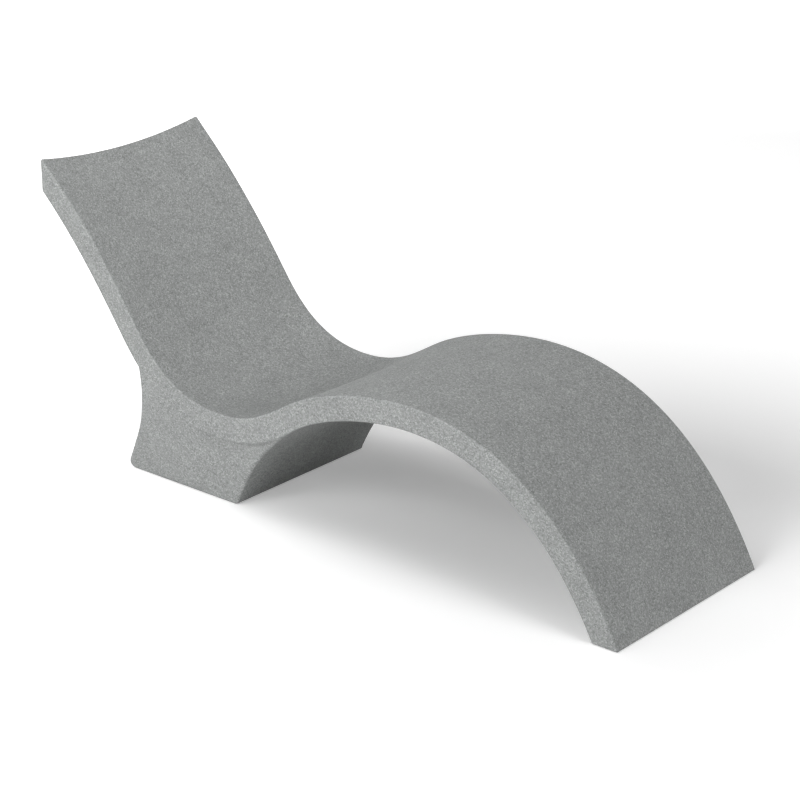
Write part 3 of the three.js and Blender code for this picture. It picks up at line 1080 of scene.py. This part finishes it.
    def _slot_cutter(self, top: float) -> bpy.types.Object:
        """Block with round ends that cuts the coin slot.

        Args:
            top: Level of the head's rim.

        Returns:
            The block, in the port's own frame.
        """
        size = self.size
        bm = bmesh.new()
        bmesh.ops.create_cube(bm, size=1)
        length = 2 * (size.head_radius - size.slot_margin)
        bmesh.ops.scale(bm, verts=bm.verts, vec=(length, size.slot_width, 2 * size.slot_depth))
        bmesh.ops.translate(bm, verts=bm.verts, vec=(0, 0, top))
        upright = [edge for edge in bm.edges
                   if abs(edge.verts[0].co.z - edge.verts[1].co.z) > size.slot_depth]
        bmesh.ops.bevel(bm, geom=upright, offset=size.slot_width * self.slot_end_share,
                        offset_type="OFFSET", affect="EDGES", segments=self.slot_end_steps, profile=0.5,
                        material=-1)
        return add_object(f"{self.name}_slot", bm)


# Materials


def linear_colour(hex_code: str) -> tuple[float, float, float, float]:
    """Turns an sRGB colour into the linear colour that a shader reads.

    Args:
        hex_code: Colour such as "8f9190".

    Returns:
        Linear red, green and blue, and full opacity.
    """
    parts = [int(hex_code[i:i + 2], 16) / 255 for i in (0, 2, 4)]
    red, green, blue = (p / 12.92 if p <= 0.04045 else ((p + 0.055) / 1.055) ** 2.4 for p in parts)
    return red, green, blue, 1.0


def add_node(material: bpy.types.ID, kind: str, settings: dict | None = None,
             **inputs: object) -> bpy.types.Node:
    """Adds a node with its settings and links.

    Args:
        material: Material or world whose tree takes the node.
        kind: Node type, such as "ShaderNodeTexNoise".
        settings: Attributes to set on the node, by name.
        **inputs: Values or output sockets for its inputs. An underscore stands for a space in an
            input's name, and a name such as i0 for the input with that number.

    Returns:
        The new node.
    """
    tree = material.node_tree
    node = tree.nodes.new(kind)
    for key, value in (settings or {}).items():
        setattr(node, key, value)
    for key, value in inputs.items():
        numbered = key[0] == "i" and key[1:].isdigit()
        socket = node.inputs[int(key[1:]) if numbered else key.replace("_", " ")]
        if isinstance(value, bpy.types.NodeSocket):
            tree.links.new(value, socket)
        else:
            socket.default_value = value
    return node


def new_material(name: str) -> bpy.types.Material:
    """Makes a material without nodes.

    Args:
        name: Its name.

    Returns:
        The material.
    """
    material = bpy.data.materials.new(name)
    material.use_nodes = True
    material.node_tree.nodes.clear()
    return material


def pattern_scale(size: float) -> float:
    """Scale of a pattern whose features are a given number of millimetres wide."""
    return 1000 / size


def around(middle: float, spread: tuple[float, float]) -> dict[str, float]:
    """Range of values from a step below a middle value to a step above it."""
    return {"To_Min": middle - spread[0], "To_Max": middle + spread[1]}


# Range that a noise's value mostly keeps to, and the number of a mix's colour output
NOISE_SPAN = {"From_Min": 0.3, "From_Max": 0.7}
MIXED_COLOUR = 2


@dataclass(frozen=True)
class GraniteShell:
    """Rotationally moulded linear polyethylene in a granite compound.

    Grey powder with dark and light specks melts onto a sandblasted mould, so the skin is matt, finely
    grained and evenly speckled. Pattern sizes are in millimetres.
    """

    grains: tuple[tuple[float, str], ...] = (
        (0.0, "757776"), (0.2, "858786"), (0.5, "8e908f"), (0.8, "979998"), (1.0, "a9abaa"))
    # The powder's specks are under 1 mm wide and are drawn coarser, so that they show at this distance
    speck: float = 2.9
    cloud: float = 90.0
    cloud_detail: float = 3.0
    cloud_contrast: tuple[float, float] = (0.05, 0.05)
    # The grain of the sandblasted mould is under 0.5 mm wide and is drawn coarser, for the same reason
    grain: float = 1.1
    grain_detail: float = 2.0
    grain_roughness: float = 0.6
    grain_strength: float = 0.15
    grain_height: float = 0.3 * MM
    roughness: float = 0.78
    roughness_spread: tuple[float, float] = (0.05, 0.05)
    ior: float = 1.51
    gloss: float = 0.25

    def make(self) -> bpy.types.Material:
        """Builds the material.

        Returns:
            The material.
        """
        mat = new_material("Rotomoulded polyethylene, granite grey")
        place = add_node(mat, "ShaderNodeTexCoord").outputs["Object"]
        specks = add_node(mat, "ShaderNodeTexVoronoi", {"feature": "F1"}, Vector=place,
                          Scale=pattern_scale(self.speck))
        pick = add_node(mat, "ShaderNodeSeparateColor", None, Color=specks.outputs["Color"]).outputs["Red"]
        speckle = add_node(mat, "ShaderNodeValToRGB", None, Fac=pick)
        stops = speckle.color_ramp.elements
        for stop, (_, colour) in zip(stops, (self.grains[0], self.grains[-1])):
            stop.color = linear_colour(colour)
        for share, colour in self.grains[1:-1]:
            stops.new(share).color = linear_colour(colour)
        cloud = add_node(mat, "ShaderNodeTexNoise", None, Vector=place, Scale=pattern_scale(self.cloud),
                         Detail=self.cloud_detail)
        tone = add_node(mat, "ShaderNodeMapRange", None, Value=cloud.outputs["Fac"], **NOISE_SPAN,
                        **around(1.0, self.cloud_contrast))
        colour = add_node(mat, "ShaderNodeMix", {"data_type": "RGBA", "blend_type": "MULTIPLY"}, i0=1.0,
                          i6=speckle.outputs["Color"], i7=tone.outputs["Result"])
        grain = add_node(mat, "ShaderNodeTexNoise", None, Vector=place, Scale=pattern_scale(self.grain),
                         Detail=self.grain_detail, Roughness=self.grain_roughness)
        bump = add_node(mat, "ShaderNodeBump", None, Strength=self.grain_strength,
                        Distance=self.grain_height, Height=grain.outputs["Fac"])
        rough = add_node(mat, "ShaderNodeMapRange", None, Value=pick,
                         **around(self.roughness, self.roughness_spread))
        shader = add_node(mat, "ShaderNodeBsdfPrincipled", None, Base_Color=colour.outputs[MIXED_COLOUR],
                          Roughness=rough.outputs["Result"], Normal=bump.outputs["Normal"], IOR=self.ior,
                          Specular_IOR_Level=self.gloss)
        add_node(mat, "ShaderNodeOutputMaterial", None, Surface=shader.outputs["BSDF"])
        return mat


@dataclass(frozen=True)
class MouldedPlugFinish:
    """Injection moulded polyamide in dark grey: a satin skin with a faint mould texture.

    Pattern sizes are in millimetres.
    """

    body: str = "3a3c3d"
    # The mould's texture is about 0.1 mm wide and is drawn coarser, so that it softens the gloss
    grain: float = 0.6
    grain_detail: float = 2.0
    grain_strength: float = 0.2
    grain_height: float = 0.05 * MM
    wear: float = 8.0
    wear_detail: float = 4.0
    wear_contrast: tuple[float, float] = (0.1, 0.12)
    roughness: float = 0.48
    roughness_spread: tuple[float, float] = (0.06, 0.08)
    ior: float = 1.53

    def make(self) -> bpy.types.Material:
        """Builds the material.

        Returns:
            The material.
        """
        mat = new_material("Injection moulded polyamide, dark grey")
        place = add_node(mat, "ShaderNodeTexCoord").outputs["Object"]
        grain = add_node(mat, "ShaderNodeTexNoise", None, Vector=place, Scale=pattern_scale(self.grain),
                         Detail=self.grain_detail)
        wear = add_node(mat, "ShaderNodeTexNoise", None, Vector=place, Scale=pattern_scale(self.wear),
                        Detail=self.wear_detail).outputs["Fac"]
        tone = add_node(mat, "ShaderNodeMapRange", None, Value=wear, **NOISE_SPAN,
                        **around(1.0, self.wear_contrast))
        colour = add_node(mat, "ShaderNodeMix", {"data_type": "RGBA", "blend_type": "MULTIPLY"}, i0=1.0,
                          i6=linear_colour(self.body), i7=tone.outputs["Result"])
        rough = add_node(mat, "ShaderNodeMapRange", None, Value=wear, **NOISE_SPAN,
                         **around(self.roughness, self.roughness_spread))
        bump = add_node(mat, "ShaderNodeBump", None, Strength=self.grain_strength,
                        Distance=self.grain_height, Height=grain.outputs["Fac"])
        shader = add_node(mat, "ShaderNodeBsdfPrincipled", None, Base_Color=colour.outputs[MIXED_COLOUR],
                          Roughness=rough.outputs["Result"], Normal=bump.outputs["Normal"], IOR=self.ior)
        add_node(mat, "ShaderNodeOutputMaterial", None, Surface=shader.outputs["BSDF"])
        return mat


@dataclass(frozen=True)
class RubberFinish:
    """Moulded EPDM rubber: black, matt and slightly dusty. Pattern sizes are in millimetres."""

    body: str = "1c1c1d"
    bloom: str = "2b2b2c"
    dust: float = 5.0
    dust_detail: float = 5.0
    dust_strength: float = 0.2
    dust_height: float = 0.05 * MM
    roughness: float = 0.82
    ior: float = 1.5

    def make(self) -> bpy.types.Material:
        """Builds the material.

        Returns:
            The material.
        """
        mat = new_material("Moulded rubber, black")
        place = add_node(mat, "ShaderNodeTexCoord").outputs["Object"]
        dust = add_node(mat, "ShaderNodeTexNoise", None, Vector=place, Scale=pattern_scale(self.dust),
                        Detail=self.dust_detail).outputs["Fac"]
        colour = add_node(mat, "ShaderNodeMix", {"data_type": "RGBA"}, i0=dust,
                          i6=linear_colour(self.body), i7=linear_colour(self.bloom))
        bump = add_node(mat, "ShaderNodeBump", None, Strength=self.dust_strength,
                        Distance=self.dust_height, Height=dust)
        shader = add_node(mat, "ShaderNodeBsdfPrincipled", None, Base_Color=colour.outputs[MIXED_COLOUR],
                          Roughness=self.roughness, Normal=bump.outputs["Normal"], IOR=self.ior)
        add_node(mat, "ShaderNodeOutputMaterial", None, Surface=shader.outputs["BSDF"])
        return mat


@dataclass(frozen=True)
class BrassFinish:
    """Turned brass: bright yellow metal, dulled in patches by a little tarnish.

    Pattern sizes are in millimetres.
    """

    body: str = "c9a55e"
    tarnish: str = "9a7a42"
    stain: float = 9.0
    stain_detail: float = 5.0
    roughness: float = 0.3
    roughness_spread: tuple[float, float] = (0.06, 0.1)

    def make(self) -> bpy.types.Material:
        """Builds the material.

        Returns:
            The material.
        """
        mat = new_material("Turned brass")
        place = add_node(mat, "ShaderNodeTexCoord").outputs["Object"]
        stain = add_node(mat, "ShaderNodeTexNoise", None, Vector=place, Scale=pattern_scale(self.stain),
                         Detail=self.stain_detail).outputs["Fac"]
        colour = add_node(mat, "ShaderNodeMix", {"data_type": "RGBA"}, i0=stain,
                          i6=linear_colour(self.body), i7=linear_colour(self.tarnish))
        rough = add_node(mat, "ShaderNodeMapRange", None, Value=stain, **NOISE_SPAN,
                         **around(self.roughness, self.roughness_spread))
        shader = add_node(mat, "ShaderNodeBsdfPrincipled", None, Base_Color=colour.outputs[MIXED_COLOUR],
                          Metallic=1.0, Roughness=rough.outputs["Result"])
        add_node(mat, "ShaderNodeOutputMaterial", None, Surface=shader.outputs["BSDF"])
        return mat


# Dressing


def dress(obj: bpy.types.Object, material: bpy.types.Material, body: str, node: str) -> None:
    """Gives a piece its material and its place in the frame.

    Args:
        obj: The piece.
        material: Its material.
        body: The moving body that it rides on.
        node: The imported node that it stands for.
    """
    obj.data.materials.clear()
    obj.data.materials.append(material)
    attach(obj, body)
    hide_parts(node)
    log.info("%s: %d faces on %s", obj.name, len(obj.data.polygons), body)


@dataclass(frozen=True)
class PoolChaise:
    """The whole lounger: the shell and its two ports."""

    view: SideView = SideView()
    sharp_above: float = 35.0
    shell_sharp_above: float = 50.0

    def build(self) -> None:
        """Models and dresses every piece."""
        ports = [ScrewPort("fill", FILL_PORT), ScrewPort("vent", VENT_PORT)]
        shell_finish = GraniteShell().make()
        plug_finish = MouldedPlugFinish().make()
        rubber = RubberFinish().make()
        brass = BrassFinish().make()
        shell = MouldedShell(self.view).build()
        for port in ports:
            port.cut_recess(shell)
        shade(shell, self.shell_sharp_above)
        dress(shell, shell_finish, "lounger", "shell")
        for port in ports:
            pieces = [
                (port.insert(), brass, "lounger", f"{port.name}_port_insert", Finish.BRASS),
                (port.gasket(), rubber, f"{port.name}_gasket", f"{port.name}_plug_gasket", Finish.GASKET),
                (port.plug(), plug_finish, f"{port.name}_plug", f"{port.name}_plug", Finish.PLUG),
            ]
            for obj, material, body, node, finish in pieces:
                shade(obj, self.sharp_above)
                dress(obj, material, body, node)


# Studio

WHITE = (1.0, 1.0, 1.0, 1.0)


def direction(azimuth: float, elevation: float) -> Vector:
    """Unit direction in space.

    Args:
        azimuth: Angle round the lounger in degrees; 0 points along +X, towards the foot.
        elevation: Angle above level in degrees.

    Returns:
        The direction.
    """
    side, up = math.radians(azimuth), math.radians(elevation)
    return Vector((math.cos(up) * math.cos(side), math.cos(up) * math.sin(side), math.sin(up)))


def facing(ahead: Vector) -> Matrix:
    """Turn of a camera or lamp that looks along a direction, with its top up."""
    return ahead.to_track_quat("-Z", "Y").to_matrix().to_4x4()


def seen_directly(material: bpy.types.ID) -> bpy.types.NodeSocket:
    """Adds the test for what the camera, a reflection or clear material shows.

    Args:
        material: Material or world whose tree takes the nodes.

    Returns:
        A value of 1 where the surface is seen, and 0 where it only lights the scene.
    """
    path = add_node(material, "ShaderNodeLightPath").outputs
    seen = add_node(material, "ShaderNodeMath", {"operation": "ADD"}, i0=path["Is Camera Ray"],
                    i1=path["Is Glossy Ray"])
    seen = add_node(material, "ShaderNodeMath", {"operation": "ADD", "use_clamp": True},
                    i0=seen.outputs["Value"], i1=path["Is Transmission Ray"])
    return seen.outputs["Value"]


@dataclass(frozen=True)
class SoftLamp:
    """Square lamp that points at the lounger, in metres and watts."""

    name: str
    place: Vector
    power: float
    side: float = 2.0
    aim: Vector = Vector((0.0, 0.0, 0.3))

    def add(self) -> None:
        """Adds the lamp to the scene."""
        data = bpy.data.lights.new(self.name, "AREA")
        data.shape = "SQUARE"
        data.size = self.side
        data.energy = self.power
        lamp = link(bpy.data.objects.new(self.name, data))
        lamp.matrix_world = Matrix.Translation(self.place) @ facing(self.aim - self.place)


@dataclass(frozen=True)
class WindowLight:
    """Even light from one side, as wide as a window wall far away. Its angles are in degrees."""

    name: str
    azimuth: float
    elevation: float
    strength: float
    spread: float = 30.0

    def add(self) -> None:
        """Adds the light to the scene."""
        data = bpy.data.lights.new(self.name, "SUN")
        data.energy = self.strength
        data.angle = math.radians(self.spread)
        lamp = link(bpy.data.objects.new(self.name, data))
        lamp.matrix_world = facing(-direction(self.azimuth, self.elevation))


LIGHTS = (
    WindowLight("light from the near side", azimuth=260.0, elevation=25.0, strength=0.88),
    WindowLight("light from the foot end", azimuth=0.0, elevation=30.0, strength=1.47),
    SoftLamp("lamp behind the head", Vector((-5.2, 0.0, 3.0)), power=76.0),
    SoftLamp("lamp over the back", Vector((-0.77, -0.92, 3.29)), power=38.0),
    SoftLamp("lamp beside the legs", Vector((1.0, -3.0, 0.8)), power=33.0),
    SoftLamp("lamp beside the head", Vector((-1.5, -2.5, 1.0)), power=20.0),
)


@dataclass(frozen=True)
class FloorPool:
    """Round pool of painted light on the floor, whose strength eases from one level inside to another
    outside.

    It begins to change at the first of its radii, in metres, and is complete at the second.
    """

    middle: Vector
    radii: tuple[float, float]
    levels: tuple[float, float]

    def strength(self, mat: bpy.types.Material, place: bpy.types.NodeSocket) -> bpy.types.NodeSocket:
        """Adds the pool to the floor's material.

        Args:
            mat: The floor's material.
            place: The place on the floor.

        Returns:
            The strength at each place.
        """
        (start, end), (inner, outer) = self.radii, self.levels
        reach = add_node(mat, "ShaderNodeVectorMath", {"operation": "DISTANCE"}, i0=place, i1=self.middle)
        eased = add_node(mat, "ShaderNodeMapRange", {"interpolation_type": "SMOOTHSTEP"},
                         Value=reach.outputs["Value"], From_Min=start, From_Max=end, To_Min=inner,
                         To_Max=outer)
        return eased.outputs["Result"]


@dataclass(frozen=True)
class Studio:
    """Camera, floor, soft lamps and world.

    The floor glows a little, more towards white the further it is from the near side of the legs: painted
    light that is weakest round the lounger. A painted shadow takes part of that glow away behind the
    lounger, so that the floor's shade there runs out slowly.
    """

    camera_place: Vector = Vector((3.781, -4.410, 2.578))
    camera_yaw: float = 130.25
    camera_pitch: float = -21.452
    focal_pixels: float = 2438.1
    image_pixels: float = 800.0
    sensor: float = 36.0
    ambient: float = 0.09
    floor_size: float = 60.0
    floor_tone: float = 0.96
    bounce_tone: float = 0.8
    # Painted light: the floor's glow, weakest round the legs and near white further out
    glow: FloorPool = FloorPool(Vector((0.379, -0.359, 0.0)), radii=(0.03, 2.6), levels=(0.10, 0.85))
    # Painted shadow: a pool that takes part of the floor's glow away behind the lounger
    painted_shadow: FloorPool = FloorPool(Vector((0.097, 2.528, 0.0)), radii=(1.74, 2.64), levels=(0.42, 0.0))

    def add_camera(self) -> None:
        """Places the camera at the photograph's viewpoint."""
        data = bpy.data.cameras.new("camera")
        data.sensor_fit = "HORIZONTAL"
        data.sensor_width = self.sensor
        data.lens = self.focal_pixels / self.image_pixels * self.sensor
        data.clip_end = 2 * self.floor_size
        camera = link(bpy.data.objects.new("camera", data))
        turn = facing(direction(self.camera_yaw, self.camera_pitch))
        camera.matrix_world = Matrix.Translation(self.camera_place) @ turn
        bpy.context.scene.camera = camera

    def add_world(self) -> None:
        """Even ambient light, and a white background for what the camera and glossy surfaces see."""
        world = bpy.data.worlds.new("studio")
        world.use_nodes = True
        world.node_tree.nodes.clear()
        bpy.context.scene.world = world
        ambient = add_node(world, "ShaderNodeBackground", None, Color=WHITE, Strength=self.ambient)
        white = add_node(world, "ShaderNodeBackground", None, Color=WHITE, Strength=1.0)
        mixed = add_node(world, "ShaderNodeMixShader", None, i0=seen_directly(world),
                         i1=ambient.outputs["Background"], i2=white.outputs["Background"])
        add_node(world, "ShaderNodeOutputWorld", None, Surface=mixed.outputs["Shader"])

    def add_floor(self) -> None:
        """White floor with the lounger's soft shadow, a painted glow to pure white further out and a
        painted shadow behind it.
        """
        bm = bmesh.new()
        bmesh.ops.create_grid(bm, x_segments=1, y_segments=1, size=self.floor_size / 2)
        floor = add_object("floor", bm)
        mat = new_material("Matt white studio floor")
        tone, bounce = self.floor_tone, self.bounce_tone
        white = add_node(mat, "ShaderNodeBsdfDiffuse", None, Color=(tone, tone, tone, 1.0))
        place = add_node(mat, "ShaderNodeTexCoord").outputs["Object"]
        # The floor's painted light: the glow, less the painted shadow behind the lounger
        level = add_node(mat, "ShaderNodeMath", {"operation": "SUBTRACT", "use_clamp": True},
                         i0=self.glow.strength(mat, place), i1=self.painted_shadow.strength(mat, place))
        # Emission that paints light onto the floor where the camera sees it
        painted_light = add_node(mat, "ShaderNodeEmission", None, Color=WHITE, Strength=level.outputs["Value"])
        shown = add_node(mat, "ShaderNodeAddShader", None, i0=white.outputs["BSDF"],
                         i1=painted_light.outputs["Emission"])
        dim = add_node(mat, "ShaderNodeBsdfDiffuse", None, Color=(bounce, bounce, bounce, 1.0))
        mixed = add_node(mat, "ShaderNodeMixShader", None, i0=seen_directly(mat), i1=dim.outputs["BSDF"],
                         i2=shown.outputs["Shader"])
        add_node(mat, "ShaderNodeOutputMaterial", None, Surface=mixed.outputs["Shader"])
        floor.data.materials.append(mat)

    def build(self) -> None:
        """Sets up the whole studio."""
        self.add_camera()
        self.add_world()
        for light in LIGHTS:
            light.add()
        self.add_floor()
        bpy.context.scene.view_settings.view_transform = "Standard"


def main() -> None:
    """Builds the lounger and its studio."""
    logging.basicConfig(level=logging.INFO, format="%(name)s: %(message)s")
    PoolChaise().build()
    Studio().build()


if __name__ == "__main__":
    main()
